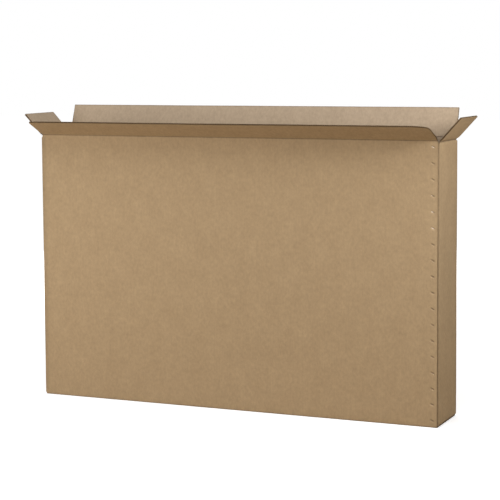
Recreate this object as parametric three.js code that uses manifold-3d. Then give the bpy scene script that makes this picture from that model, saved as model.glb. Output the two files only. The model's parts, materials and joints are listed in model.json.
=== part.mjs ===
// A tall, narrow carton for shipping a bicycle upright, with its four top flaps standing open.
// It is a regular slotted container: one sheet of double-wall board, scored and folded into a tube,
// closed underneath by its own flaps, and stitched with wire where the sheet's two ends lap.
// Millimetres, +Z up. The origin is the middle of the base; the front panel faces -Y.
import * as THREE from "three";
import { mergeVertices } from "three/addons/utils/BufferGeometryUtils.js";
import Module from "manifold-3d";

// The closed carton, measured outside
const LENGTH = 1900;
const WIDTH = 270;
const HEIGHT = 1210;

// The board and how it folds
const BOARD = 7; // thickness of the double-wall board
const LAYER_GAP = 0.3; // air between two layers of board that lie on each other
const BEND_OUTER = 6; // outer radius of a folded score
const BEND_INNER = 1; // inner radius of a folded score
const ARC_STEPS = 5; // straight pieces in a quarter bend

// The scores that the top flaps turn on
const SCORE_DEPTH = 1; // how deep the fold line lies under the outer face
const SCORE_REACH = 6; // how far the crushed groove runs from the fold line along the outer face
const SCORE_GAP = 0.3; // clearance between the wall's edge and the flap's at the fold line

// The slots that part neighbouring flaps, and the seam where the long flaps meet
const LONG_FLAP_SETBACK = 6; // from the carton's end to the side edge of a long flap
const SHORT_FLAP_CLEARANCE = 1.5; // between a short flap's side edge and the wall it tucks beside
const SEAM = 0.6; // between the two long flaps when they are closed
const SLOT_DROP = 5; // how far a slot at the top is cut past the short flaps' fold line
const FOOT_SLOT_DROP = 1; // the same at the base

// The lap where the sheet's two ends are joined, behind the front panel's right edge
const LAP_WIDTH = 45; // from the carton's end to the lap's free edge
const LAP_TAPER = 16; // how much shorter the lap is at its free edge than at its fold, at each end
const LAP_END_CLEARANCE = 3; // between the lap's ends and the closed short flaps
const JOINT_SETBACK = 6; // from the carton's end to the front panel's cut edge

// The wire stitches through the front panel and the lap
const STITCHES = 18;
const STITCH_FROM_EDGE = 21; // from the front panel's cut edge to the middle of a stitch
const STITCH_END_MARGIN = 29; // from the base, and from the closed top, to the nearest stitch
const STITCH_TILT = 25; // degrees: the crown slopes down towards the cut edge
const CROWN = 16; // outside length of a stitch's crown
const WIRE_WIDTH = 2.2;
const WIRE_THICKNESS = 0.8;
const CLINCH = 6.5; // length of each leg's end where it is bent over inside
const WIRE_CLEARANCE = 0.3; // round the legs in their holes, and under the crown and the clinched ends

// How far each top flap leans out from upright
const OPEN_DEGREES = { front: 63, right: 43, back: 19, left: 44 };

const KRAFT = 0xb3926a;
const STITCH_WIRE = 0xa8835c;

// What follows from them
const closedLayer = BOARD + LAYER_GAP;
const flapDepth = WIDTH / 2 - SCORE_DEPTH - SEAM / 2; // from fold line to free edge
const longAxisZ = HEIGHT - SCORE_DEPTH; // fold line of the long top flaps
const shortAxisZ = longAxisZ - closedLayer; // the short flaps close under the long ones
const innerBevel = BOARD - SCORE_DEPTH + SCORE_GAP / 2; // the inner groove is cut at 45 degrees
const shortFlapSetback = BOARD + SHORT_FLAP_CLEARANCE;
const grooveFootZ = shortAxisZ - Math.max(innerBevel, SCORE_REACH); // lowest groove on any wall
const postTopZ = shortAxisZ - SLOT_DROP;
const postFootZ = closedLayer + FOOT_SLOT_DROP;
const bendTopZ = postFootZ + Math.max(BOARD + BEND_INNER, BEND_OUTER); // above every bottom bend
const lapFaceY = -WIDTH / 2 + closedLayer; // the lap's outer face, behind the front panel
const stitchX = LENGTH / 2 - JOINT_SETBACK - STITCH_FROM_EDGE;

// The four sides, each in its own frame: x along the panel, y inwards, z up
const longFrom = -LENGTH / 2 + LONG_FLAP_SETBACK;
const shortFrom = -WIDTH / 2 + shortFlapSetback;
const SIDES = [
  { name: "front", turn: 0, out: WIDTH / 2, from: longFrom, to: -longFrom, axisZ: longAxisZ, baseZ: 0 },
  // the right side's fold starts beyond the lap, which is folded in front of it
  {
    name: "right",
    turn: 90,
    out: LENGTH / 2,
    from: shortFrom + closedLayer,
    to: -shortFrom,
    axisZ: shortAxisZ,
    baseZ: closedLayer,
  },
  { name: "back", turn: 180, out: WIDTH / 2, from: longFrom, to: -longFrom, axisZ: longAxisZ, baseZ: 0 },
  {
    name: "left",
    turn: 270,
    out: LENGTH / 2,
    from: shortFrom,
    to: -shortFrom,
    axisZ: shortAxisZ,
    baseZ: closedLayer,
  },
];

const wasm = await Module();
wasm.setup();

const radians = THREE.MathUtils.degToRad;

// Booleans

function toSolid(geometry) {
  const bare = geometry.clone();
  bare.deleteAttribute("normal");
  bare.deleteAttribute("uv");
  const merged = mergeVertices(bare, 1e-4);
  return new wasm.Manifold(
    new wasm.Mesh({
      numProp: 3,
      vertProperties: merged.attributes.position.array,
      triVerts: new Uint32Array(merged.index.array),
    }),
  );
}

function toGeometry(solid) {
  const mesh = solid.getMesh();
  const indexed = new THREE.BufferGeometry();
  indexed.setAttribute("position", new THREE.BufferAttribute(mesh.vertProperties, 3));
  indexed.setIndex(new THREE.BufferAttribute(mesh.triVerts, 1));
  const flat = indexed.toNonIndexed();
  flat.computeVertexNormals();
  return flat;
}

// Profiles and the prisms made from them

function polygon(points) {
  return new THREE.Shape(points.map(([x, y]) => new THREE.Vector2(x, y)));
}

function extrude(shape, from, to) {
  const geometry = new THREE.ExtrudeGeometry(shape, {
    depth: to - from,
    bevelEnabled: false,
    curveSegments: ARC_STEPS,
  });
  return geometry.translate(0, 0, from);
}

// A profile drawn in (inwards, up), swept along a panel's own x.
function sweepAlongPanel(shape, from, to) {
  const cycle = new THREE.Matrix4().makeBasis(
    new THREE.Vector3(0, 1, 0),
    new THREE.Vector3(0, 0, 1),
    new THREE.Vector3(1, 0, 0),
  );
  return extrude(shape, from, to).applyMatrix4(cycle);
}

function box(x0, x1, y0, y1, z0, z1) {
  const geometry = new THREE.BoxGeometry(x1 - x0, y1 - y0, z1 - z0);
  return geometry.translate((x0 + x1) / 2, (y0 + y1) / 2, (z0 + z1) / 2);
}

// From a side's own frame, with y counted from its outer face, to the carton's frame.
function place(geometry, side) {
  return geometry.translate(0, -side.out, 0).rotateZ(radians(side.turn));
}

// The folded tube, seen from above: front panel, left end, back, right end, and the lap

function tubeSection() {
  const x = LENGTH / 2;
  const y = WIDTH / 2;
  const quarter = Math.PI / 2;
  const outer = BEND_OUTER;
  const inner = BEND_INNER;
  const shape = new THREE.Shape();
  shape.moveTo(x - JOINT_SETBACK, -y);
  shape.lineTo(-x + outer, -y);
  shape.absarc(-x + outer, -y + outer, outer, -quarter, -2 * quarter, true);
  shape.absarc(-x + outer, y - outer, outer, 2 * quarter, quarter, true);
  shape.absarc(x - outer, y - outer, outer, quarter, 0, true);
  shape.absarc(x - outer, lapFaceY + outer, outer, 0, -quarter, true);
  shape.lineTo(x - LAP_WIDTH, lapFaceY);
  shape.lineTo(x - LAP_WIDTH, lapFaceY + BOARD);
  const wallIn = BOARD + inner;
  shape.absarc(x - wallIn, lapFaceY + wallIn, inner, -quarter, 0, false);
  shape.absarc(x - wallIn, y - wallIn, inner, 0, quarter, false);
  shape.absarc(-x + wallIn, y - wallIn, inner, quarter, 2 * quarter, false);
  shape.absarc(-x + wallIn, -y + wallIn, inner, 2 * quarter, 3 * quarter, false);
  shape.lineTo(x - JOINT_SETBACK, -y + BOARD);
  shape.closePath();
  return shape;
}

// A panel's top edge: crushed to a ridge at the fold line by the score.
function panelTopProfile(side) {
  const ridge = side.axisZ - SCORE_GAP / 2;
  return polygon([
    [0, grooveFootZ],
    [BOARD, grooveFootZ],
    [BOARD, side.axisZ - innerBevel],
    [SCORE_DEPTH, ridge],
    [0, side.axisZ - SCORE_REACH],
  ]);
}

// A panel's foot: the wall bends under and runs on as the closed bottom flap.
function panelFootProfile(side) {
  const quarter = Math.PI / 2;
  const z = side.baseZ;
  const reach = SCORE_DEPTH + flapDepth;
  const shape = new THREE.Shape();
  shape.moveTo(0, bendTopZ);
  shape.lineTo(0, z + BEND_OUTER);
  shape.absarc(BEND_OUTER, z + BEND_OUTER, BEND_OUTER, 2 * quarter, 3 * quarter, false);
  shape.lineTo(reach, z);
  shape.lineTo(reach, z + BOARD);
  const wallIn = BOARD + BEND_INNER;
  shape.absarc(wallIn, z + wallIn, BEND_INNER, 3 * quarter, 2 * quarter, true);
  shape.lineTo(BOARD, bendTopZ);
  shape.closePath();
  return shape;
}

// What is cut off each end of the lap, so that it clears the closed short flaps
function lapEndCutter(endZ, up) {
  const far = up * LAP_WIDTH;
  const outside = LENGTH / 2;
  const inside = outside - LAP_WIDTH - LAYER_GAP;
  const shape = polygon([
    [outside - BOARD, endZ],
    [outside - BOARD, endZ + far],
    [inside, endZ + far],
    [inside, endZ - up * LAP_TAPER],
  ]);
  const upright = new THREE.Matrix4().makeBasis(
    new THREE.Vector3(1, 0, 0),
    new THREE.Vector3(0, 0, 1),
    new THREE.Vector3(0, -1, 0),
  );
  const depth = closedLayer + BOARD;
  return extrude(shape, -LAYER_GAP / 2, depth)
    .applyMatrix4(upright)
    .translate(0, lapFaceY + BOARD + LAYER_GAP, 0);
}

// The stitch's own frame: x along the crown, y inwards from the front panel's face, z across the wire.
const stitchTilt = new THREE.Matrix4().makeRotationY(radians(STITCH_TILT));

function stitchHeight(index) {
  const span = HEIGHT - 2 * STITCH_END_MARGIN;
  return STITCH_END_MARGIN + (span * index) / (STITCHES - 1);
}

function placeStitch(geometry, index) {
  return geometry.applyMatrix4(stitchTilt).translate(stitchX, -WIDTH / 2, stitchHeight(index));
}

// A flat wire staple: crown outside, two legs through both layers, ends clinched inside.
function stitchGeometry() {
  const half = CROWN / 2;
  const wire = WIRE_THICKNESS;
  const crownIn = -WIRE_CLEARANCE;
  const clinchOut = closedLayer + BOARD + WIRE_CLEARANCE;
  const shape = polygon([
    [-half, crownIn - wire],
    [half, crownIn - wire],
    [half, clinchOut + wire],
    [half - CLINCH, clinchOut + wire],
    [half - CLINCH, clinchOut],
    [half - wire, clinchOut],
    [half - wire, crownIn],
    [-half + wire, crownIn],
    [-half + wire, clinchOut],
    [-half + CLINCH, clinchOut],
    [-half + CLINCH, clinchOut + wire],
    [-half, clinchOut + wire],
  ]);
  return extrude(shape, -WIRE_WIDTH / 2, WIRE_WIDTH / 2);
}

function legHole(sign) {
  const outer = CROWN / 2 + WIRE_CLEARANCE;
  const inner = CROWN / 2 - WIRE_THICKNESS - WIRE_CLEARANCE;
  const halfWidth = WIRE_WIDTH / 2 + WIRE_CLEARANCE;
  const x0 = sign > 0 ? inner : -outer;
  const x1 = sign > 0 ? outer : -inner;
  const deep = closedLayer + BOARD + LAYER_GAP;
  return box(x0, x1, -LAYER_GAP, deep, -halfWidth, halfWidth);
}

// The sheet itself, as folded: tube, lap and closed bottom
function cartonBody() {
  let body = toSolid(extrude(tubeSection(), postFootZ, postTopZ));
  for (const side of SIDES) {
    const depth = BOARD + LAYER_GAP / 2;
    const topZone = box(side.from, side.to, -1, depth, grooveFootZ, HEIGHT);
    const footZone = box(side.from, side.to, -1, depth, 0, bendTopZ);
    body = body.subtract(toSolid(place(topZone, side)));
    body = body.subtract(toSolid(place(footZone, side)));
  }
  for (const side of SIDES) {
    const top = sweepAlongPanel(panelTopProfile(side), side.from, side.to);
    const foot = sweepAlongPanel(panelFootProfile(side), side.from, side.to);
    body = body.add(toSolid(place(top, side)));
    body = body.add(toSolid(place(foot, side)));
  }
  const lapTopZ = HEIGHT - 2 * closedLayer - LAP_END_CLEARANCE;
  const lapFootZ = 2 * closedLayer + LAP_END_CLEARANCE;
  body = body.subtract(toSolid(lapEndCutter(lapTopZ, 1)));
  body = body.subtract(toSolid(lapEndCutter(lapFootZ, -1)));
  for (let i = 0; i < STITCHES; i += 1) {
    body = body.subtract(toSolid(placeStitch(legHole(1), i)));
    body = body.subtract(toSolid(placeStitch(legHole(-1), i)));
  }
  return toGeometry(body);
}

// A top flap, upright, with its fold line on its own x axis and its outer face towards -y
function flapGeometry(side) {
  const ridge = SCORE_GAP / 2;
  const profile = polygon([
    [0, ridge],
    [BOARD - SCORE_DEPTH, innerBevel],
    [BOARD - SCORE_DEPTH, flapDepth],
    [-SCORE_DEPTH, flapDepth],
    [-SCORE_DEPTH, SCORE_REACH],
  ]);
  return sweepAlongPanel(profile, side.from, side.to);
}

const board = new THREE.MeshStandardMaterial({ color: KRAFT, roughness: 0.92, metalness: 0 });
const wire = new THREE.MeshStandardMaterial({ color: STITCH_WIRE, roughness: 0.4, metalness: 0.8 });

const carton = new THREE.Group();

const body = new THREE.Mesh(cartonBody(), board);
body.name = "carton_body";
carton.add(body);

for (const side of SIDES) {
  const frame = new THREE.Group();
  frame.rotation.z = radians(side.turn);
  const flap = new THREE.Mesh(flapGeometry(side), board.clone());
  flap.name = `top_flap_${side.name}`;
  flap.position.set(0, SCORE_DEPTH - side.out, side.axisZ);
  flap.rotation.x = radians(OPEN_DEGREES[side.name]);
  frame.add(flap);
  carton.add(frame);
}

for (let i = 0; i < STITCHES; i += 1) {
  const stitch = new THREE.Mesh(stitchGeometry(), wire.clone());
  stitch.name = `stitch_${String(i + 1).padStart(2, "0")}`;
  stitch.position.set(stitchX, -WIDTH / 2, stitchHeight(i));
  stitch.rotation.y = radians(STITCH_TILT);
  carton.add(stitch);
}

export default carton;
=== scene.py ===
import json
import math
from collections import namedtuple
import bpy
import numpy as np
from mathutils import Matrix, Vector, noise

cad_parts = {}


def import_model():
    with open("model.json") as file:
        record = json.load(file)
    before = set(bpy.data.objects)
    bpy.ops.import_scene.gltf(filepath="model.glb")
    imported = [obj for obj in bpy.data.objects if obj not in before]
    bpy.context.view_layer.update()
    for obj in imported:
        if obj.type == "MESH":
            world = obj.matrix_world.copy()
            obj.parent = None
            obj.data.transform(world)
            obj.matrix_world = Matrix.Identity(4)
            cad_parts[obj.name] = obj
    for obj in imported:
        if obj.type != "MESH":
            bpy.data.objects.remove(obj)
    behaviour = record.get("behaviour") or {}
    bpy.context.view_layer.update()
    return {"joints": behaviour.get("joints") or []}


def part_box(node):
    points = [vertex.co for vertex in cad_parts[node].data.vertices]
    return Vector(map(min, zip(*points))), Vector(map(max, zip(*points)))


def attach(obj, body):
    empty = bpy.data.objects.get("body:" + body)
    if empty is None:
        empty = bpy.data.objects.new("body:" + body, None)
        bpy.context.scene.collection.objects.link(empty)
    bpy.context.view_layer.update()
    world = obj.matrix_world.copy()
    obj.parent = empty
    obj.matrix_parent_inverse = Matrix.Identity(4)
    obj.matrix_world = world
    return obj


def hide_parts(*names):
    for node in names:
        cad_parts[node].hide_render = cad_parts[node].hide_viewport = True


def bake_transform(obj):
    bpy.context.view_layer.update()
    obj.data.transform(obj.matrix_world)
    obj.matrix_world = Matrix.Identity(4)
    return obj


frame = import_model()

# The carton's sizes, in metres, from the frame
body_low, body_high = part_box("carton_body")
LENGTH = body_high.x - body_low.x
WIDTH = body_high.y - body_low.y
HINGES = {joint["child"]: joint for joint in frame["joints"]}

# The board: three liners with two fluted mediums between them
BOARD = 0.007
LINER = 0.00045
MEDIUM = 0.0003
SMALL_FLUTE = {"pitch": 0.0064, "low": LINER, "high": 0.00285}
LARGE_FLUTE = {"pitch": 0.0079, "low": 0.00325, "high": BOARD - LINER}
LINER_DEPTHS = ((0.0, LINER), (SMALL_FLUTE["high"], LARGE_FLUTE["low"]), (BOARD - LINER, BOARD))

# Folds and cut edges, as in the part's source
SCORE_DEPTH = 0.001  # a flap's hinge lies this deep in the board
BEND_OUTER = 0.006
BEND_INNER = 0.001
SEAM = 0.0006  # where two closed flaps meet
LAYER_GAP = 0.0003  # between two layers of board that lie on each other
SLOT_DROP = 0.005  # how far a slot is cut below the short flap's score
FOOT_SLOT_DROP = 0.001  # the same at the base
JOINT_SETBACK = 0.006  # from the front panel's cut edge to the carton's end
LAP_WIDTH = 0.045
LAP_TAPER = 0.016
LAP_END_CLEARANCE = 0.003
FLAP_DEPTH = WIDTH / 2 - SCORE_DEPTH - SEAM / 2
CLOSED_LAYER = BOARD + LAYER_GAP

# Where the pieces of this script meet
CREASE_REACH = 0.012  # how far a crease piece runs over the wall and over the flap
CREASE_HALF = 0.006  # half of the stretch in which the board turns
BASE_BEND_TOP = 0.020  # where the walls pass into the pieces that bend under
NEAR = 1e-5  # heights that differ by less are the same

# The stitches
STITCHES = 18
STITCH_FROM_EDGE = 0.021
STITCH_X = LENGTH / 2 - JOINT_SETBACK - STITCH_FROM_EDGE
STITCH_HEIGHTS = [sum(c.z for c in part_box(f"stitch_{i + 1:02d}")) / 2 for i in range(STITCHES)]
STITCH_TILT = math.radians(25)
STITCH_SWAY = math.radians(14)  # how far a stitch's tilt may differ, at the most
STITCH_ROLL = math.radians(26)  # how far it may be twisted about its crown
CROWN = 0.016
CLINCH = 0.0065
WIRE_WIDTH = 0.0022
WIRE_THICKNESS = 0.0008
WIRE_BEVEL = 0.00018
DIMPLE = 0.0024  # how deep the wire presses the front panel in
CROWN_DEPTH = DIMPLE - 0.0006
CLINCH_DEPTH = CLOSED_LAYER + BOARD + 0.0007


def smooth(t):
    t = np.clip(t, 0.0, 1.0)
    return t * t * (3 - 2 * t)


def waver(points, seed):
    """Smooth noise from -1 to 1 at each point of a list of numbers."""
    return np.array([noise.noise(Vector((float(t), seed, 0.5 * seed))) for t in points])


def spaced(low, high, step):
    """Evenly spaced places from low to high, about a step apart."""
    return np.linspace(low, high, max(2, round((high - low) / step) + 1))


def both_ways(millimetres):
    """Distances to both sides of zero, in metres."""
    half = np.array(millimetres) / 1000
    return np.concatenate([-half[::-1], [0.0], half])


# How close together the points of the meshes are
BEND_STEPS = 6
SAMPLES_PER_FLUTE = 8
WALL_STEP = 0.06
END_WALL_STEP = 0.023
STITCHED_STEP = 0.002
STITCHED_REACH = 0.018  # how far from the stitches, away from the cut edge, the columns are close
BESIDE_FOLD = 0.02  # where the long walls' columns begin, beside a fold
BESIDE_LAP_FOLD = 0.003  # where the lap's columns begin, beside its fold
LAP_STEP = 0.006
BOTTOM_FLAP_STEPS = (0.03, 0.028)  # along a fold and away from it
TOP_FLAP_STEPS = (0.02, 0.009)
CREASE_STEP = 0.012
STITCH_ROWS = both_ways([1.1, 2.2, 3.3, 4.5, 6, 8, 11])
CREASE_ROWS = both_ways([0.7, 1.3, 2, 3, 4, 5, 6, 7, 9, 12])


# The four sides


class Side:
    """One side of the tube: p runs along the panel, depth inwards from its outer face, z up."""

    def __init__(self, name, turn, half, base_z, sheet_start):
        joint = HINGES[f"{name}_flap"]
        self.name = name
        self.half = half
        self.cos = round(math.cos(math.radians(turn)))
        self.sin = round(math.sin(math.radians(turn)))
        self.hinge_z = joint["pos_m"][2]
        # At a joint's lower limit its flap is closed, 90 degrees inwards of upright
        self.lean = math.radians(-joint["range_deg"][0] - 90)
        self.base_z = base_z
        self.sheet_start = sheet_start
        corners = [corner.x * self.cos + corner.y * self.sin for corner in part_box(f"top_flap_{name}")]
        self.low = min(corners)
        self.high = max(corners)

    def place(self, p, depth, z):
        """Points of the panel's own frame, as an array of places in the shared frame."""
        p, depth, z = np.broadcast_arrays(p, depth, z)
        y = depth - self.half
        return np.stack([p * self.cos - y * self.sin, p * self.sin + y * self.cos, z], axis=-1)

    def sheet_u(self, p):
        """Distance round the unfolded sheet."""
        return self.sheet_start - p

    def flap(self, p, s, depth):
        """Points of the top flap: s is the distance from the fold line along the sheet."""
        out = flap_warp(self, p, s)
        n = depth - SCORE_DEPTH - out
        across = SCORE_DEPTH - s * math.sin(self.lean) + n * math.cos(self.lean)
        up = self.hinge_z + s * math.cos(self.lean) + n * math.sin(self.lean)
        return self.place(p, across, up)

    def crease(self, p, s, depth):
        """Points of the board where it turns from the wall into the flap."""
        t = np.clip((s + CREASE_HALF) / (2 * CREASE_HALF), 0, 1)
        along = np.where(np.abs(s) < CREASE_HALF, CREASE_HALF, np.abs(s))
        wall = np.where(s < CREASE_HALF, (1 - t) ** 2 * along, 0.0)
        leaf = np.where(s > -CREASE_HALF, t**2 * along, 0.0)
        turn = self.lean * t
        n = depth - SCORE_DEPTH
        across = SCORE_DEPTH - leaf * math.sin(self.lean) + n * np.cos(turn)
        up = self.hinge_z - wall + leaf * math.cos(self.lean) + n * np.sin(turn)
        return self.place(p, across, up)


AROUND = LENGTH - JOINT_SETBACK  # the front panel's length along the sheet
SIDES = [
    Side("front", 0, WIDTH / 2, 0.0, LENGTH / 2 - JOINT_SETBACK),
    Side("right", 90, LENGTH / 2, CLOSED_LAYER, AROUND + WIDTH + LENGTH + WIDTH / 2),
    Side("back", 180, WIDTH / 2, 0.0, AROUND + WIDTH + LENGTH / 2),
    Side("left", 270, LENGTH / 2, CLOSED_LAYER, AROUND + WIDTH / 2),
]
FRONT, RIGHT, BACK, LEFT = SIDES
POST_TOP = RIGHT.hinge_z - SLOT_DROP
POST_FOOT = CLOSED_LAYER + FOOT_SLOT_DROP


# How the board departs from flat

PANEL_WAVE = 0.0022
PANEL_WAVES = (1.7, 1.5)  # per metre, along a panel and up it
PANEL_SINK = 0.35  # moves the waves inwards, as a share of PANEL_WAVE
EASE_ALONG = 0.06  # how far from a fold the waves have their full size
EASE_UP = 0.12  # the same from a crease
LAP_MARGIN = 0.01  # beside the lap, where the stitches still hold the front panel flat
FLAP_WAVE = {"front": 0.0030, "right": -0.0020, "back": 0.0040, "left": -0.0024}
FLAP_WAVES = 2.6  # per metre
DROOP = 0.006  # how far the front flap's right corner hangs
DROOP_LENGTH = 0.085
CRUSHED_CORNER = 0.009  # how far the same corner is crushed in
CRUSHED_REACH = 0.024
SLOT_FLARE = 0.0032  # how much wider a slot is at its root, at each side
SLOT_FLARE_REACH = 0.045
TRIM_REACH = 0.03  # how far from a flap's end its columns move with the cut
ROUGH_CUT = 0.0006
ROUGH_WAVES = (90, 330)  # per metre
EASE_CUT = 0.01  # how far beyond the crease a flap's cut has its full roughness
DIMPLE_REACH = (0.0085, 0.0036)  # along a stitch's crown and aside of it

# How dark the painted shade is at the most, where 0 is none and 1 is the painted shade in a score's groove
PAINTED_SHADE_STRENGTH = {"fold": 0.35, "lap fold": 0.5, "stitch": 0.8, "rim": 0.8}


def flap_warp(side, p, s):
    """How far a flap's free part stands outwards from flat."""
    p, s = np.broadcast_arrays(p, s)
    share = smooth((s - CREASE_REACH) / (FLAP_DEPTH - CREASE_REACH))
    columns = p[:, 0] if p.ndim == 2 else p
    wave = waver(columns * FLAP_WAVES, 3.1 + side.half * 7 + side.cos)
    wave = wave[:, None] if p.ndim == 2 else wave
    out = FLAP_WAVE[side.name] * (1 + wave) / 2
    if side is FRONT:
        out = out + DROOP * np.clip((p - (side.high - DROOP_LENGTH)) / DROOP_LENGTH, 0, 1) ** 2
    return out * share


def panel_warp(side, p, z):
    """How far a wall stands outwards from flat, as a grid over columns p and heights z."""
    top = side.hinge_z - CREASE_REACH
    rise = smooth((z - BASE_BEND_TOP) / EASE_UP) * smooth((top - z) / EASE_UP)
    left = smooth((p - side.low) / EASE_ALONG)
    right_margin = LAP_WIDTH + LAP_MARGIN if side is FRONT else 0.0
    right = smooth((side.high - right_margin - p) / EASE_ALONG)
    seed = 11.3 + 3 * side.cos + 7 * side.sin
    per_p, per_z = PANEL_WAVES
    out = np.array([[noise.noise(Vector((a * per_p, b * per_z, seed))) for b in z] for a in p])
    return PANEL_WAVE * (out - PANEL_SINK) * (left * right)[:, None] * rise[None, :]


def stitch_axes(across, up):
    """From the panel's axes to along and aside of a stitch's crown."""
    along = across * math.cos(STITCH_TILT) - up * math.sin(STITCH_TILT)
    aside = across * math.sin(STITCH_TILT) + up * math.cos(STITCH_TILT)
    return along, aside


def dimples(x, z):
    """How deep the wire presses the front panel in, at columns x and heights z."""
    depth = np.zeros((len(x), len(z)))
    long, wide = DIMPLE_REACH
    for height in STITCH_HEIGHTS:
        along, aside = stitch_axes(x[:, None] - STITCH_X, z[None, :] - height)
        depth += DIMPLE * np.exp(-((along / long) ** 4) - (np.abs(aside) / wide) ** 2.5)
    return depth


# Meshes

LINER_SLOT, EDGE_SLOT = 0, 1

# The cut edge of double-wall board, seen along the flutes: (depth, how far it is sunk in)
HOLLOW = (0.0006, 0.0064)  # the depths between which it is sunk
RAW_EDGE = [
    (LINER, 0.0),
    (HOLLOW[0], 0.0021),
    (0.0016, 0.0027),
    (0.0027, 0.0016),
    (SMALL_FLUTE["high"], 0.0),
    (LARGE_FLUTE["low"], 0.0),
    (0.0036, 0.0026),
    (0.0050, 0.0034),
    (HOLLOW[1], 0.0022),
    (BOARD - LINER, 0.0),
]


def placed(name, data):
    """An object in the scene."""
    made = bpy.data.objects.new(name, data)
    bpy.context.scene.collection.objects.link(made)
    return made


def smooth_object(name, vertices, faces, materials, sharp_degrees):
    """An object in the scene, smooth except for its sharp edges."""
    mesh = bpy.data.meshes.new(name)
    mesh.from_pydata(vertices, [], faces)
    for material in materials:
        mesh.materials.append(material)
    mesh.shade_smooth()
    mesh.set_sharp_from_angle(angle=math.radians(sharp_degrees))
    return placed(name, mesh)


def board_object(name, parts, sharp_degrees=38, painted_shade=None):
    """One object of several closed shells, each (vertices, faces, sheet coordinates, material slots).

    The function passed for the shade gives how much painted shade the paper has at each point, from its
    sheet coordinates.
    """
    vertices, faces, sheet, slots = [], [], [], []
    count = 0
    for part_vertices, part_faces, part_sheet, part_slots in parts:
        vertices.append(part_vertices)
        sheet.append(part_sheet)
        faces.extend([tuple(int(i) + count for i in face) for face in part_faces])
        slots.extend(part_slots)
        count += len(part_vertices)
    finishes = (LINER_FINISH, EDGE_FINISH)
    made = smooth_object(name, np.concatenate(vertices).tolist(), faces, finishes, sharp_degrees)
    mesh = made.data
    mesh.polygons.foreach_set("material_index", slots)
    sheet = np.concatenate(sheet).astype(np.float32)
    mesh.attributes.new("sheet", "FLOAT_VECTOR", "POINT").data.foreach_set("vector", sheet.ravel())
    if painted_shade is not None:
        shade_amount = painted_shade(sheet).astype(np.float32)
        mesh.attributes.new("painted_shade", "FLOAT", "POINT").data.foreach_set("value", shade_amount)
    mesh.update()
    return made


def cut_lines(outer, inner, u, v, raw_ends, depths):
    """The points of the raw ends: their places, their sheet coordinates, and their numbers by line.

    A line runs through the board, from its outer face to its inner one, and is found by the end's
    column and its row.
    """
    columns, rows = outer.shape[:2]
    places, sheet, lines = [], [], {}
    for end, beside, raw in ((0, 1, raw_ends[0]), (columns - 1, columns - 2, raw_ends[1])):
        if not raw:
            continue
        inward = outer[beside] - outer[end]
        inward /= np.linalg.norm(inward, axis=1)[:, None]
        for row in range(rows):
            lines[end, row] = []
            for depth, sunk in RAW_EDGE:
                share = (depth - depths[0]) / (depths[1] - depths[0])
                point = outer[end, row] * (1 - share) + inner[end, row] * share
                lines[end, row].append(2 * columns * rows + len(places))
                places.append(point + inward[row] * sunk)
                sheet.append((u[end], v[row], depth))
    return places, sheet, lines


def slab(outer, inner, u, v, included=None, raw_ends=(False, False), depths=(0.0, BOARD)):
    """A closed shell between two grids of points, columns first.

    included says which cells of the grid there are. A raw end shows the cut flutes in place of a
    plain edge.
    """
    columns, rows = outer.shape[:2]
    size = columns * rows
    index = np.arange(size).reshape(columns, rows)
    if included is None:
        included = np.ones((columns - 1, rows - 1), bool)
    flat_u, flat_v = (a.ravel() for a in np.broadcast_arrays(u[:, None], v[None, :]))
    sheet = [np.stack([flat_u, flat_v, np.full(size, depth)], axis=1) for depth in depths]
    a, b = index[:-1, :-1][included], index[1:, :-1][included]
    c, d = index[1:, 1:][included], index[:-1, 1:][included]
    faces = [tuple(q) for q in np.stack([a, b, c, d], 1)]
    faces += [tuple(q) for q in np.stack([d, c, b, a], 1) + size]
    slots = [LINER_SLOT] * len(faces)

    cut_places, cut_sheet, lines = cut_lines(outer, inner, u, v, raw_ends, depths)

    def through(i, j):
        """The numbers of the points through the board, from its outer face to its inner one."""
        return [index[i, j], *lines.get((i, j), ()), index[i, j] + size]

    padded = np.pad(included, 1)
    for i in range(columns):
        for j in range(rows - 1):
            before, after = padded[i, j + 1], padded[i + 1, j + 1]
            if before != after:
                first, second = through(i, j), through(i, j + 1)
                quads = list(zip(first, second, second[1:], first[1:]))
                faces += quads if after else [q[::-1] for q in quads]
                slots += [EDGE_SLOT] * len(quads)
    for j in range(rows):
        for i in range(columns - 1):
            below, above = padded[i + 1, j], padded[i + 1, j + 1]
            if below != above:
                far = through(i + 1, j)
                ring = (far[0], *through(i, j), *far[:0:-1])
                faces.append(ring if above else ring[::-1])
                slots.append(EDGE_SLOT)

    vertices = np.concatenate([outer.reshape(-1, 3), inner.reshape(-1, 3), np.reshape(cut_places, (-1, 3))])
    sheet = np.concatenate([*sheet, np.reshape(cut_sheet, (-1, 3))])
    used = np.unique(np.concatenate(faces))
    renumber = np.full(len(vertices), -1)
    renumber[used] = np.arange(len(used))
    faces = [tuple(renumber[list(face)]) for face in faces]
    return vertices[used], faces, sheet[used], slots


# Materials

OUTER_TONES = ((0.375, 0.262, 0.148, 1), (0.455, 0.325, 0.188, 1))
INNER_TONES = ((0.395, 0.300, 0.206, 1), (0.465, 0.358, 0.252, 1))
CUT_TONES = ((0.172, 0.113, 0.060, 1), (0.333, 0.228, 0.129, 1))
WIRE_TONES = ((0.12, 0.082, 0.052, 1), (0.40, 0.29, 0.19, 1))
# The brighter metal colour that paints glints on some stitches
PAINTED_GLINT_TONE = (0.93, 0.80, 0.66, 1)


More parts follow.
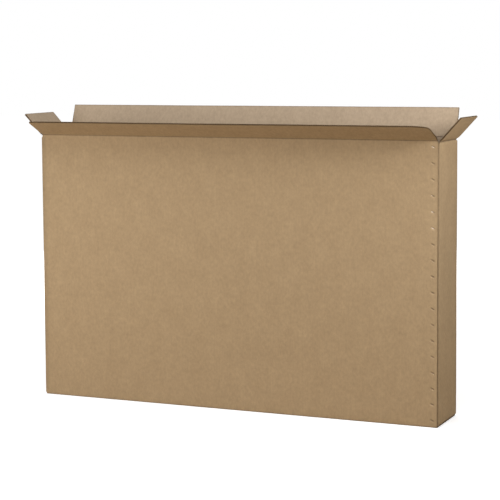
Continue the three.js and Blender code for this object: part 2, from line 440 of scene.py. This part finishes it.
class Nodes:
    """A short hand for building the nodes of a material or of the world."""

    def __init__(self, owner):
        self.owner = owner
        owner.use_nodes = True
        self.tree = owner.node_tree

    def put(self, socket, value):
        if isinstance(value, bpy.types.NodeSocket):
            self.tree.links.new(value, socket)
        else:
            socket.default_value = value

    def feed(self, node, inputs):
        """Sets or links a node's inputs by name, each space written as _."""
        for key, value in inputs.items():
            self.put(node.inputs[key.replace("_", " ")], value)
        return node

    def node(self, kind, settings=None, **inputs):
        made = self.tree.nodes.new(kind)
        for key, value in (settings or {}).items():
            setattr(made, key, value)
        return self.feed(made, inputs)

    def finish(self, **inputs):
        """The material, once its own shader has these inputs."""
        self.feed(self.tree.nodes["Principled BSDF"], inputs)
        return self.owner

    def math(self, operation, a, b=0.0):
        made = self.node("ShaderNodeMath", {"operation": operation})
        self.put(made.inputs[0], a)
        self.put(made.inputs[1], b)
        return made.outputs[0]

    def attribute(self, name, output):
        return self.node("ShaderNodeAttribute", {"attribute_name": name}).outputs[output]

    def noise(self, vector, scale, detail=2.0, roughness=0.5):
        """Noise from 0 to 1. scale is three numbers, one for each axis."""
        scaled = self.node("ShaderNodeVectorMath", {"operation": "MULTIPLY"})
        self.put(scaled.inputs[0], vector)
        self.put(scaled.inputs[1], scale)
        made = self.node("ShaderNodeTexNoise", Vector=scaled.outputs[0], Scale=1.0)
        return self.feed(made, {"Detail": detail, "Roughness": roughness}).outputs["Fac"]

    def swung(self, shade, fac, amount):
        """The shade, raised and lowered by a value that swings about one half."""
        return self.math("ADD", shade, self.math("MULTIPLY", self.math("SUBTRACT", fac, 0.5), amount))

    def mix(self, factor, a, b, blend="MIX"):
        made = self.node("ShaderNodeMix", {"data_type": "RGBA", "blend_type": blend})
        return self.feed(made, {"Factor": factor, "A": a, "B": b}).outputs["Result"]

    def shaded(self, colour, shade):
        grey = self.node("ShaderNodeCombineColor", Red=shade, Green=shade, Blue=shade)
        return self.mix(1.0, colour, grey.outputs["Color"], "MULTIPLY")

    def bump(self, height, strength, distance):
        made = self.node("ShaderNodeBump", Height=height, Strength=strength, Distance=distance)
        return made.outputs["Normal"]

    def by_ray(self, other, seen):
        """The shader seen for the camera's rays, also by way of metal or glass, and other for the rest."""
        path = self.node("ShaderNodeLightPath").outputs
        direct = self.math("MAXIMUM", path["Is Camera Ray"], path["Is Glossy Ray"])
        direct = self.math("MAXIMUM", direct, path["Is Transmission Ray"])
        made = self.node("ShaderNodeMixShader")
        for socket, value in zip(made.inputs, (direct, other, seen)):
            self.put(socket, value)
        return made.outputs[0]


def kraft_liner():
    """Unbleached kraft: fibres, soft mottling, the flutes' washboard, two sides of unlike tone, and the
    painted shade that each mesh carries.
    """
    n = Nodes(bpy.data.materials.new("kraft_liner"))
    sheet = n.attribute("sheet", "Vector")
    parts = n.node("ShaderNodeSeparateXYZ", Vector=sheet).outputs
    outer_tone = n.mix(n.noise(sheet, (14, 9, 300), 3.0, 0.6), *OUTER_TONES)
    inner_tone = n.mix(n.noise(sheet, (11, 7, 300), 3.0, 0.6), *INNER_TONES)
    tone = n.mix(n.math("GREATER_THAN", parts["Z"], BOARD / 2), outer_tone, inner_tone)

    cloud = n.noise(sheet, (90, 60, 300), 3.0, 0.65)
    blotch = n.noise(sheet, (34, 26, 300), 2.0, 0.55)
    fibre = n.noise(sheet, (420, 1900, 300), 3.0, 0.7)
    fleck = n.math("GREATER_THAN", n.noise(sheet, (260, 800, 900), 1.0, 0.4), 0.74)
    ridges = n.math("SINE", n.math("MULTIPLY", parts["X"], 2 * math.pi / LARGE_FLUTE["pitch"]))
    shade = n.swung(1.0, cloud, 0.42)
    shade = n.swung(shade, blotch, 0.16)
    shade = n.swung(shade, fibre, 0.26)
    # The washboard's ridges are also painted a little lighter and darker: painted shade, beside their bump
    shade = n.math("ADD", shade, n.math("MULTIPLY", ridges, 0.012))
    shade = n.math("SUBTRACT", shade, n.math("MULTIPLY", fleck, 0.22))
    # Painted shade from each mesh's attribute: beside the folds, in the lap fold's gap, above the stitches,
    # along the scores and along the flaps' cut edges
    shade = n.math("SUBTRACT", shade, n.math("MULTIPLY", n.attribute("painted_shade", "Fac"), 0.55))

    height = n.math("ADD", n.math("MULTIPLY", ridges, 0.5), n.math("MULTIPLY", fibre, 0.8))
    return n.finish(
        Base_Color=n.shaded(tone, shade),
        Normal=n.bump(height, 0.35, 0.00012),
        Roughness=0.86,
        Specular_IOR_Level=0.25,
    )


def cut_edge():
    """The mediums and the cut faces of the liners: darker, rougher paper, with painted shade where it is
    sunk.
    """
    n = Nodes(bpy.data.materials.new("kraft_cut_edge"))
    sheet = n.attribute("sheet", "Vector")
    depth = n.node("ShaderNodeSeparateXYZ", Vector=sheet).outputs["Z"]
    tone = n.mix(n.noise(sheet, (300, 300, 900), 2.0, 0.6), *CUT_TONES)
    past_liner = n.math("GREATER_THAN", depth, HOLLOW[0])
    # Painted shade in the sunk stretch of the cut edge, inside the outer and inner liners
    recess_shade = n.math("MULTIPLY", past_liner, n.math("LESS_THAN", depth, HOLLOW[1]))
    shade = n.math("SUBTRACT", 1.0, n.math("MULTIPLY", recess_shade, 0.2))
    fibre = n.noise(sheet, (1500, 1500, 2500), 2.0, 0.6)
    return n.finish(
        Base_Color=n.shaded(tone, shade),
        Normal=n.bump(fibre, 0.4, 0.0002),
        Roughness=0.95,
        Specular_IOR_Level=0.15,
    )


def stitch_wire():
    """Flat steel wire with a dull copper wash, a little tarnished, and a brighter metal colour on some
    stitches as painted glints.
    """
    n = Nodes(bpy.data.materials.new("stitch_wire"))
    where = n.node("ShaderNodeTexCoord").outputs["Object"]
    tarnish = n.noise(where, (220, 220, 220), 3.0, 0.6)
    # Painted glints: a brighter metal colour on the stitches where this noise is high
    painted_glint = n.math("GREATER_THAN", n.noise(where, (0, 0, 43), 0.0), 0.56)
    drawn = n.noise(where, (300, 300, 4000), 2.0, 0.6)
    return n.finish(
        Base_Color=n.mix(n.math("MULTIPLY", painted_glint, 0.9), n.mix(tarnish, *WIRE_TONES), PAINTED_GLINT_TONE),
        Roughness=n.math("ADD", 0.34, n.math("MULTIPLY", tarnish, 0.25)),
        Normal=n.bump(drawn, 0.2, 0.0001),
        Metallic=1.0,
    )


LINER_FINISH = kraft_liner()
EDGE_FINISH = cut_edge()
WIRE_FINISH = stitch_wire()


# The walls: one strip of board round the tube, from the front panel's cut edge to the lap's free edge

LAP = "lap"
FOLD_SHADE_REACH = 0.032  # how far the painted shade reaches beside a vertical fold, where the corner rounds away
# how far the painted shade reaches beside the lap's fold, for the shadow in the gap at the front panel's
# cut edge
GAP_SHADE_REACH = 1.35 * BEND_OUTER
STITCH_SHADE_REACH = (0.008, 0.0018)  # the painted shade above a stitch: how far it reaches along the crown and aside of it
STITCH_SHADE_OFFSET = 0.0026  # how far the painted shade above a stitch lies above its crown

# A column of the walls: where its outer and its inner face stand, its distance round the sheet, the
# side it lies on, which is LAP on the lap and None in a fold, and its place along that side
Column = namedtuple("Column", "outer inner u side p")


def bend():
    """The board turned by 90 degrees, in steps: (share of the turn, outer point, inner point).

    A point is its depths behind the first face and behind the second.
    """
    for k in range(BEND_STEPS + 1):
        angle = math.pi / 2 * k / BEND_STEPS
        points = [
            (inset - radius * math.cos(angle), inset - radius * math.sin(angle))
            for radius, inset in ((BEND_OUTER, BEND_OUTER), (BEND_INNER, BOARD + BEND_INNER))
        ]
        yield k / BEND_STEPS, *points


def wall_columns():
    """Every column of the walls, from the front panel's cut edge round to the lap's free edge."""
    columns = []

    def straight(side, places):
        for p in places:
            ends = [side.place(p, depth, 0.0)[:2] for depth in (0.0, BOARD)]
            columns.append(Column(*ends, side.sheet_u(p), side, p))

    def corner(side, shift=0.0):
        """The fold at the low end of this side's p. shift moves it along p."""
        reach = LENGTH / 2 if side in (FRONT, BACK) else WIDTH / 2
        p_end = -reach + shift
        start = side.sheet_u(p_end + BEND_OUTER)
        for share, *points in bend():
            ends = [side.place(p_end + second, first, 0.0)[:2] for first, second in points]
            columns.append(Column(*ends, start + 2 * BEND_OUTER * share, None, None))

    stitched_low = STITCH_X - STITCHED_REACH
    straight(FRONT, spaced(stitched_low, FRONT.high, STITCHED_STEP)[::-1])
    straight(FRONT, spaced(FRONT.low + BESIDE_FOLD, stitched_low, WALL_STEP)[::-1][1:])
    corner(FRONT)
    straight(LEFT, spaced(LEFT.low, LEFT.high, END_WALL_STEP)[::-1])
    corner(LEFT)
    straight(BACK, spaced(BACK.low + BESIDE_FOLD, BACK.high - BESIDE_FOLD, WALL_STEP)[::-1])
    corner(BACK)
    straight(RIGHT, spaced(RIGHT.low, RIGHT.high, END_WALL_STEP)[::-1])
    corner(RIGHT, shift=CLOSED_LAYER)

    lap_u = columns[-1].u
    lap_high = LENGTH / 2 - BOARD - BEND_INNER - BESIDE_LAP_FOLD
    for p in spaced(LENGTH / 2 - LAP_WIDTH, lap_high, LAP_STEP)[::-1]:
        ends = [FRONT.place(p, CLOSED_LAYER + depth, 0.0)[:2] for depth in (0.0, BOARD)]
        columns.append(Column(*ends, lap_u + (LENGTH / 2 - BOARD - p), LAP, p))
    return columns


def wall_heights():
    """The heights of the walls' rows, which are close together at the stitches."""
    top = FRONT.hinge_z - CREASE_REACH
    heights = {POST_FOOT, BASE_BEND_TOP, LEFT.hinge_z - CREASE_REACH, top, POST_TOP}
    heights.update((low + high) / 2 for low, high in zip(STITCH_HEIGHTS, STITCH_HEIGHTS[1:]))
    for height in STITCH_HEIGHTS:
        heights.update((height + STITCH_ROWS).tolist())
    z = np.array(sorted(heights))
    z = z[(z >= POST_FOOT) & (z <= max(POST_TOP, top) + NEAR)]
    return z[np.append(True, np.diff(z) > NEAR)]


def lap_heights(p, z):
    """The walls' rows, drawn together on the lap, whose ends are cut back and tapered."""
    foot = 2 * CLOSED_LAYER + LAP_END_CLEARANCE
    top = FRONT.hinge_z + SCORE_DEPTH - 2 * CLOSED_LAYER - LAP_END_CLEARANCE
    cut = LAP_TAPER * (LENGTH / 2 - BOARD - p) / (LAP_WIDTH - BOARD)
    stretch = (top - foot - 2 * cut) / (POST_TOP - POST_FOOT)
    return (top + foot) / 2 + (z - (POST_TOP + POST_FOOT) / 2) * stretch


def wall_cells(columns, z):
    """Which cells of the walls' grid there are.

    A long wall ends above at its crease and below at the piece that bends under. An end wall does
    so too, but the folds beside it and the lap run on as far as the slots leave them.
    """
    included = np.ones((len(columns) - 1, len(z) - 1), bool)
    low, high = z[:-1], z[1:]
    for i, pair in enumerate(zip(columns, columns[1:])):
        ends = [column.side for column in pair]
        side = next((s for s in SIDES if s in ends), None)
        if side is None or (None in ends and side in (LEFT, RIGHT)):
            included[i] = high <= POST_TOP + NEAR
        else:
            top = side.hinge_z - CREASE_REACH
            included[i] = (low >= BASE_BEND_TOP - NEAR) & (high <= top + NEAR)
    return included


def wall_painted_shade(sheet, folds):
    """Painted shade on the walls' outer paper: beside the folds, where the corners round away, along the
    lap's fold, which lies beside the front panel's cut edge, for the shadow in the gap there, and above
    each stitch's crown.
    """
    *shaded_folds, lap_fold = folds
    fold_shade = sum(smooth(1 - np.abs(sheet[:, 0] - fold) / FOLD_SHADE_REACH) for fold in shaded_folds)
    gap_shade = smooth(1 - np.abs(sheet[:, 0] - lap_fold - BEND_OUTER / 2) / GAP_SHADE_REACH)
    stitch_shade = np.zeros(len(sheet))
    long, wide = STITCH_SHADE_REACH
    for height in STITCH_HEIGHTS:
        along, aside = stitch_axes(FRONT.sheet_u(STITCH_X) - sheet[:, 0], sheet[:, 1] - height)
        stitch_shade += np.exp(-((along / long) ** 4) - ((aside - STITCH_SHADE_OFFSET) / wide) ** 2)
    # Painted shade beside the folds, in the lap fold's gap and above the stitches, on the outer paper only
    shade_amount = PAINTED_SHADE_STRENGTH["fold"] * fold_shade + PAINTED_SHADE_STRENGTH["lap fold"] * gap_shade + PAINTED_SHADE_STRENGTH["stitch"] * stitch_shade
    return shade_amount * (sheet[:, 2] < BOARD / 2)


def walls():
    columns = wall_columns()
    z = wall_heights()
    outer = np.zeros((len(columns), len(z), 3))
    inner = np.zeros_like(outer)
    for i, column in enumerate(columns):
        for grid, place in ((outer, column.outer), (inner, column.inner)):
            grid[i, :, :2] = place
            grid[i, :, 2] = lap_heights(column.p, z) if column.side == LAP else z
    for side in SIDES:
        rows = [i for i, column in enumerate(columns) if column.side is side]
        p = np.array([columns[i].p for i in rows])
        out = panel_warp(side, p, z)
        pressed = dimples(p, z) if side is FRONT else 0.0
        outward = side.place(0.0, -1.0, 0.0) - side.place(0.0, 0.0, 0.0)
        outer[rows] += (out - pressed)[:, :, None] * outward
        inner[rows] += out[:, :, None] * outward

    u = np.array([column.u for column in columns])
    folds = [column.u for column in columns if column.side is None][BEND_STEPS // 2 :: BEND_STEPS + 1]
    part = slab(outer, inner, u, z, wall_cells(columns, z), raw_ends=(True, True))
    made = board_object(
        "carton_walls", [part], sharp_degrees=50, painted_shade=lambda sheet: wall_painted_shade(sheet, folds)
    )
    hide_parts("carton_body")
    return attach(made, "carton")


# The closed bottom: each wall bends under and runs on as a flap


def bottom_flap(side):
    base = side.base_z
    outer_line = [(0.0, BASE_BEND_TOP)]
    inner_line = [(BOARD, BASE_BEND_TOP)]
    along = [BASE_BEND_TOP]
    for share, outer_point, inner_point in bend():
        for line, (depth, height) in ((outer_line, outer_point), (inner_line, inner_point)):
            line.append((depth, base + height))
        along.append(base + BEND_OUTER * (1 - 2 * share))
    last = along[-1]
    p_step, depth_step = BOTTOM_FLAP_STEPS
    for depth in spaced(BASE_BEND_TOP, SCORE_DEPTH + FLAP_DEPTH, depth_step):
        outer_line.append((depth, base))
        inner_line.append((depth, base + BOARD))
        along.append(last - (depth - BEND_OUTER))
    p = spaced(side.low, side.high, p_step)
    grids = []
    for line in (outer_line, inner_line):
        depth, height = np.array(line).T
        grids.append(side.place(p[:, None], depth[None, :], height[None, :]))
    part = slab(*grids, side.sheet_u(p), np.array(along), raw_ends=(True, True))
    made = board_object(f"bottom_flap_{side.name}", [part])
    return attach(made, "carton")


# The top flaps, with their flutes, and the creases that they turn on

RIM = 0.0045  # the width of the band along a flap's cut edges that is painted darker as shade
MEDIUM_INSET = 0.0003  # how far the mediums end inside the liners

# The mediums' rows, by their distance from the fold line: few, because their number of columns is large
MEDIUM_ROWS = np.array(
    [
        CREASE_REACH,
        0.025,
        0.045,
        FLAP_DEPTH - CRUSHED_REACH,
        FLAP_DEPTH - 0.008,
        FLAP_DEPTH - MEDIUM_INSET,
    ]
)

FLUTE_ROUGH = 0.00022  # how much lower than its liner a flute's crest may be, at the most
FLUTE_SWAY = 0.35  # how far a flute may be out of step, in radians
FLUTE_WAVES = (160, 40)  # per metre, of the roughness and of the sway

# The score's marks: (depth, half width), and how much they vary along it
INNER_GROOVE = (0.0018, 0.0026)
OUTER_DENT = (0.0011, 0.0013)
TUCKED_DENT = (0.0029, 0.0085)  # flattens the short flaps' scores, so that they bend under the long flaps
SCORE_UNEVEN = 0.25
SCORE_WAVES = 55  # per metre
SCORE_SHADE_REACH = 0.0023  # how far from its middle the score's painted shade reaches


def trimmed(side, p, s):
    """Columns p at the distances s, moved in where the slots flare and at the crushed corner."""
    grid = np.repeat(p[:, None], len(s), axis=1)
    root = SLOT_FLARE * smooth((s + CREASE_HALF) / CREASE_HALF) * smooth(1 - s / SLOT_FLARE_REACH)
    corner = CRUSHED_CORNER * np.clip((s - FLAP_DEPTH) / CRUSHED_REACH + 1, 0, 1) ** 2
    for end, inward in ((side.low, 1), (side.high, -1)):
        inset = root + corner if side is FRONT and inward < 0 else root
        grid += inward * smooth(1 - np.abs(p - end) / TRIM_REACH)[:, None] * inset[None, :]
    return grid


def ragged(side, p, s):
    """The same, with the side edges cut roughly."""
    grid = trimmed(side, p, s)
    for end in (0, -1):
        seed = 5.7 * end + 2.3 * side.cos + 1.9 * side.sin
        coarse = waver(s * ROUGH_WAVES[0], seed) * ROUGH_CUT
        fine = waver(s * ROUGH_WAVES[1], seed + 4) * ROUGH_CUT / 2
        grid[end] += (coarse + fine) * smooth((s - CREASE_REACH) / EASE_CUT)
    return grid


def cut_paper(part):
    """The same part, finished all over as its cut edges are."""
    vertices, faces, sheet, slots = part
    return vertices, faces, sheet, [EDGE_SLOT] * len(slots)


def liners(side):
    """The three liners of a top flap. The middle one shows only at the cut edges."""
    p_step, s_step = TOP_FLAP_STEPS
    s = np.append(spaced(CREASE_REACH, FLAP_DEPTH - RIM, s_step), FLAP_DEPTH)
    inside = spaced(side.low + RIM, side.high - RIM, p_step)
    p = np.concatenate([[side.low], inside, [side.high]])
    grid = ragged(side, p, s)
    for depths in LINER_DEPTHS:
        outer, inner = (side.flap(grid, s[None, :], depth) for depth in depths)
        part = slab(outer, inner, side.sheet_u(p), side.hinge_z + s, depths=depths)
        hidden = depths[0] > 0 and depths[1] < BOARD
        yield cut_paper(part) if hidden else part


def mediums(side):
    """The two fluted mediums of a top flap."""
    rows = MEDIUM_ROWS
    for number, flute in enumerate((SMALL_FLUTE, LARGE_FLUTE)):
        step = flute["pitch"] / SAMPLES_PER_FLUTE
        q = spaced(side.low + 2 * MEDIUM_INSET, side.high - 2 * MEDIUM_INSET, step)
        rough = FLUTE_ROUGH * waver(q * FLUTE_WAVES[0], 8.1 + number + side.half)
        sway = FLUTE_SWAY * waver(q * FLUTE_WAVES[1], 2.2 + number)
        phase = 2 * math.pi * q / flute["pitch"] + sway
        swing = (flute["high"] - flute["low"] - MEDIUM) / 2
        centre = (flute["low"] + flute["high"]) / 2 + (swing - np.abs(rough)) * np.sin(phase)
        grid = trimmed(side, q, rows)
        outer, inner = (
            side.flap(grid, rows[None, :], (centre + half)[:, None]) for half in (-MEDIUM / 2, MEDIUM / 2)
        )
        yield cut_paper(slab(outer, inner, side.sheet_u(q), side.hinge_z + rows))


def top_flap(side):
    def painted_shade(sheet):
        """Painted shade on the inner paper along the cut edges."""
        margins = [
            side.hinge_z + FLAP_DEPTH - sheet[:, 1],
            sheet[:, 0] - side.sheet_u(side.high),
            side.sheet_u(side.low) - sheet[:, 0],
        ]
        edge_shade = smooth(1 - np.minimum.reduce(margins) / RIM)
        return PAINTED_SHADE_STRENGTH["rim"] * edge_shade * (sheet[:, 2] > BOARD / 2)

    parts = [*liners(side), *mediums(side)]
    made = board_object(f"flap_{side.name}", parts, sharp_degrees=60, painted_shade=painted_shade)
    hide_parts(f"top_flap_{side.name}")
    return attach(made, f"{side.name}_flap")


def crease(side):
    """The scored stretch of board: crushed to a groove inside, and lightly dented outside."""
    p = spaced(side.low, side.high, CREASE_STEP)
    s = CREASE_ROWS
    crush = INNER_GROOVE[0] * np.exp(-((s / INNER_GROOVE[1]) ** 2))
    dent = OUTER_DENT[0] * np.exp(-((s / OUTER_DENT[1]) ** 2))
    if side in (LEFT, RIGHT):
        dent += TUCKED_DENT[0] * np.exp(-((s / TUCKED_DENT[1]) ** 4))
    uneven = 1 + SCORE_UNEVEN * waver(p * SCORE_WAVES, 6.6 + side.half + side.cos)
    grid = ragged(side, p, s)
    outer = side.crease(grid, s[None, :], dent[None, :] * uneven[:, None])
    inner = side.crease(grid, s[None, :], BOARD - crush[None, :] * uneven[:, None])
    part = slab(outer, inner, side.sheet_u(p), side.hinge_z + s, raw_ends=(True, True))

    # Painted shade along the middle of the score, where its groove and dent lie
    def painted_shade(sheet):
        return np.exp(-(((sheet[:, 1] - side.hinge_z) / SCORE_SHADE_REACH) ** 2))

    made = board_object(f"crease_{side.name}", [part], painted_shade=painted_shade)
    wall_end = side.place(0.0, BOARD / 2, side.hinge_z - CREASE_REACH)
    flap_end = side.flap(np.array([0.0]), np.array([CREASE_REACH]), BOARD / 2)[0]
    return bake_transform(made)


# The wire stitches


def wire_line():
    """The middle of the wire, from one clinched end to the other: (place across the stitch, depth)."""
    half = CROWN / 2
    line = [
        (half - CLINCH, CLINCH_DEPTH + 0.0002),
        (half - 0.0030, CLINCH_DEPTH),
        (half - 0.0013, CLINCH_DEPTH - 0.0002),
        (half - 0.0005, CLINCH_DEPTH - 0.0010),
        (half - 0.0004, CLINCH_DEPTH - 0.0030),
        (half - 0.0004, CROWN_DEPTH + 0.0030),
        (half - 0.0006, CROWN_DEPTH + 0.0012),
        (half - 0.0014, CROWN_DEPTH + 0.0003),
        (half - 0.0030, CROWN_DEPTH),
    ]
    middle = [(0.0, CROWN_DEPTH - 0.0002)]
    return np.array(line + middle + [(-x, depth) for x, depth in line[::-1]])


def stitch(number, height):
    """A flat wire pressed into the front panel, through the lap, and clinched inside."""
    line = wire_line()
    ahead = np.gradient(line, axis=0)
    ahead /= np.linalg.norm(ahead, axis=1)[:, None]
    aside = np.stack([-ahead[:, 1], ahead[:, 0]], axis=1)
    wide, thick, bevel = WIRE_WIDTH / 2, WIRE_THICKNESS / 2, WIRE_BEVEL
    ring = [(wide, thick - bevel), (wide - bevel, thick), (bevel - wide, thick), (-wide, thick - bevel)]
    ring += [(-across, -out) for across, out in ring]
    sway, roll = (float(waver([number * 1.37], seed)[0]) for seed in (3.3, 8.7))
    tilt = Matrix.Rotation(STITCH_TILT + STITCH_SWAY * sway, 3, "Y")
    tilt @= Matrix.Rotation(STITCH_ROLL * roll, 3, "X")
    place = Vector((STITCH_X, -WIDTH / 2, height))
    vertices, faces = [], []
    for (x, depth), (aside_x, aside_depth) in zip(line, aside):
        for across, out in ring:
            vertices.append(tilt @ Vector((x + aside_x * out, depth + aside_depth * out, across)) + place)
    count = len(ring)
    for i in range(len(line) - 1):
        for k in range(count):
            a, b = i * count + k, i * count + (k + 1) % count
            faces.append((a, b, b + count, a + count))
    faces.append(tuple(range(count))[::-1])
    faces.append(tuple(range(len(vertices) - count, len(vertices))))
    made = smooth_object(f"wire_{number:02d}", vertices, faces, [WIRE_FINISH], sharp_degrees=50)
    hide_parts(f"stitch_{number:02d}")
    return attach(made, "carton")


# The camera, fitted to the carton's corners in the photo. Its pixels count from the top left

CAMERA_PLACE = Vector((2.946, -6.697, 1.571))
CAMERA_YAW = math.radians(24.06)
CAMERA_PITCH = math.radians(-5.06)
CAMERA_ROLL = math.radians(-0.40)
FOCAL_PIXELS = 1647.8
PRINCIPAL_POINT = (233.4, 200.0)
IMAGE_SIZE = 500
SENSOR = 36.0


def camera():
    data = bpy.data.cameras.new("camera")
    data.sensor_width = SENSOR
    data.lens = FOCAL_PIXELS / IMAGE_SIZE * SENSOR
    data.shift_x = (IMAGE_SIZE / 2 - PRINCIPAL_POINT[0]) / IMAGE_SIZE
    data.shift_y = (PRINCIPAL_POINT[1] - IMAGE_SIZE / 2) / IMAGE_SIZE
    forward = Vector((
        -math.sin(CAMERA_YAW) * math.cos(CAMERA_PITCH),
        math.cos(CAMERA_YAW) * math.cos(CAMERA_PITCH),
        math.sin(CAMERA_PITCH),
    ))
    level = Vector((math.cos(CAMERA_YAW), math.sin(CAMERA_YAW), 0.0))
    up = level.cross(forward)
    right = level * math.cos(CAMERA_ROLL) + up * math.sin(CAMERA_ROLL)
    top = up * math.cos(CAMERA_ROLL) - level * math.sin(CAMERA_ROLL)
    turn = Matrix((right, top, -forward)).transposed()
    made = placed("camera", data)
    made.matrix_world = Matrix.Translation(CAMERA_PLACE) @ turn.to_4x4()
    bpy.context.scene.camera = made


# The floor and the light

FLOOR_SIZE = 60.0
FLOOR_Z = -0.0006
FLOOR_BOUNCE = (0.34, 0.25, 0.14, 1)  # what the carton sees of it
FLOOR_WHITE = (0.88, 0.88, 0.88, 1)  # what the camera sees of it, with FLOOR_LIFT on top
FLOOR_LIFT = (0.45, 0.90)  # near the carton, where its shadow falls, and far from it
LIFT_REACH = (1.5, 4.5)  # how far from the carton's middle these two are
WORLD_LIGHT = 0.2
WORLD_WHITE = (1, 1, 1, 1)

# Each lamp: its name, place, target, diameter and power
LAMPS = (
    ("key", (-3.2, -5.0, 2.2), (-0.2, 0.0, 0.6), 3.0, 36),
    ("left", (-1.9, -2.4, 1.2), (-0.7, 0.0, 0.7), 1.2, 33),
    ("right", (2.3, -0.85, 1.75), (0.9, 0.0, 1.0), 0.8, 27.5),
    ("top", (0.3, -1.6, 4.2), (0.0, 0.0, 0.9), 3.0, 72),
    ("low", (0.6, -3.2, 0.35), (0.6, 0.0, 1.2), 0.6, 11),
    ("back", (-2.6, 5.0, 1.8), (0.0, 0.0, 0.6), 3.5, 220),
)


def floor():
    """White for the camera, with a soft shadow, and warm for the light that it gives the carton."""
    n = Nodes(bpy.data.materials.new("floor"))
    n.tree.nodes.clear()
    plain = n.node("ShaderNodeBsdfDiffuse", Color=FLOOR_BOUNCE)
    white = n.node("ShaderNodeBsdfDiffuse", Color=FLOOR_WHITE)
    where = n.node("ShaderNodeTexCoord").outputs["Object"]
    away = n.node("ShaderNodeVectorMath", {"operation": "LENGTH"}, Vector=where).outputs["Value"]
    ramp = n.node("ShaderNodeMapRange", {"interpolation_type": "SMOOTHSTEP"}, Value=away)
    n.feed(ramp, {"From Min": LIFT_REACH[0], "From Max": LIFT_REACH[1]})
    n.feed(ramp, {"To Min": FLOOR_LIFT[0], "To Max": FLOOR_LIFT[1]})
    lift = n.node("ShaderNodeEmission", Strength=ramp.outputs["Result"])
    bright = n.node("ShaderNodeAddShader")
    n.put(bright.inputs[0], white.outputs[0])
    n.put(bright.inputs[1], lift.outputs[0])
    n.node("ShaderNodeOutputMaterial", Surface=n.by_ray(plain.outputs[0], bright.outputs[0]))

    half = FLOOR_SIZE / 2
    mesh = bpy.data.meshes.new("floor")
    mesh.from_pydata(
        [(-half, -half, 0), (half, -half, 0), (half, half, 0), (-half, half, 0)], [], [(0, 1, 2, 3)]
    )
    mesh.materials.append(n.owner)
    made = placed("floor", mesh)
    made.location.z = FLOOR_Z


def world():
    made = bpy.data.worlds.new("studio")
    bpy.context.scene.world = made
    n = Nodes(made)
    n.tree.nodes.clear()
    light = n.node("ShaderNodeBackground", Strength=WORLD_LIGHT)
    white = n.node("ShaderNodeBackground", Color=WORLD_WHITE)
    n.node("ShaderNodeOutputWorld", Surface=n.by_ray(light.outputs[0], white.outputs[0]))


def lamp(name, place, target, size, power):
    data = bpy.data.lights.new(name, "AREA")
    data.shape = "DISK"
    data.size = size
    data.energy = power
    made = placed(name, data)
    made.location = place
    made.rotation_euler = (Vector(target) - Vector(place)).to_track_quat("-Z", "Y").to_euler()


camera()
floor()
world()
for settings in LAMPS:
    lamp(*settings)

walls()
for side in SIDES:
    bottom_flap(side)
    top_flap(side)
    crease(side)
for i, height in enumerate(STITCH_HEIGHTS):
    stitch(i + 1, height)

bpy.context.scene.view_settings.view_transform = "Standard"
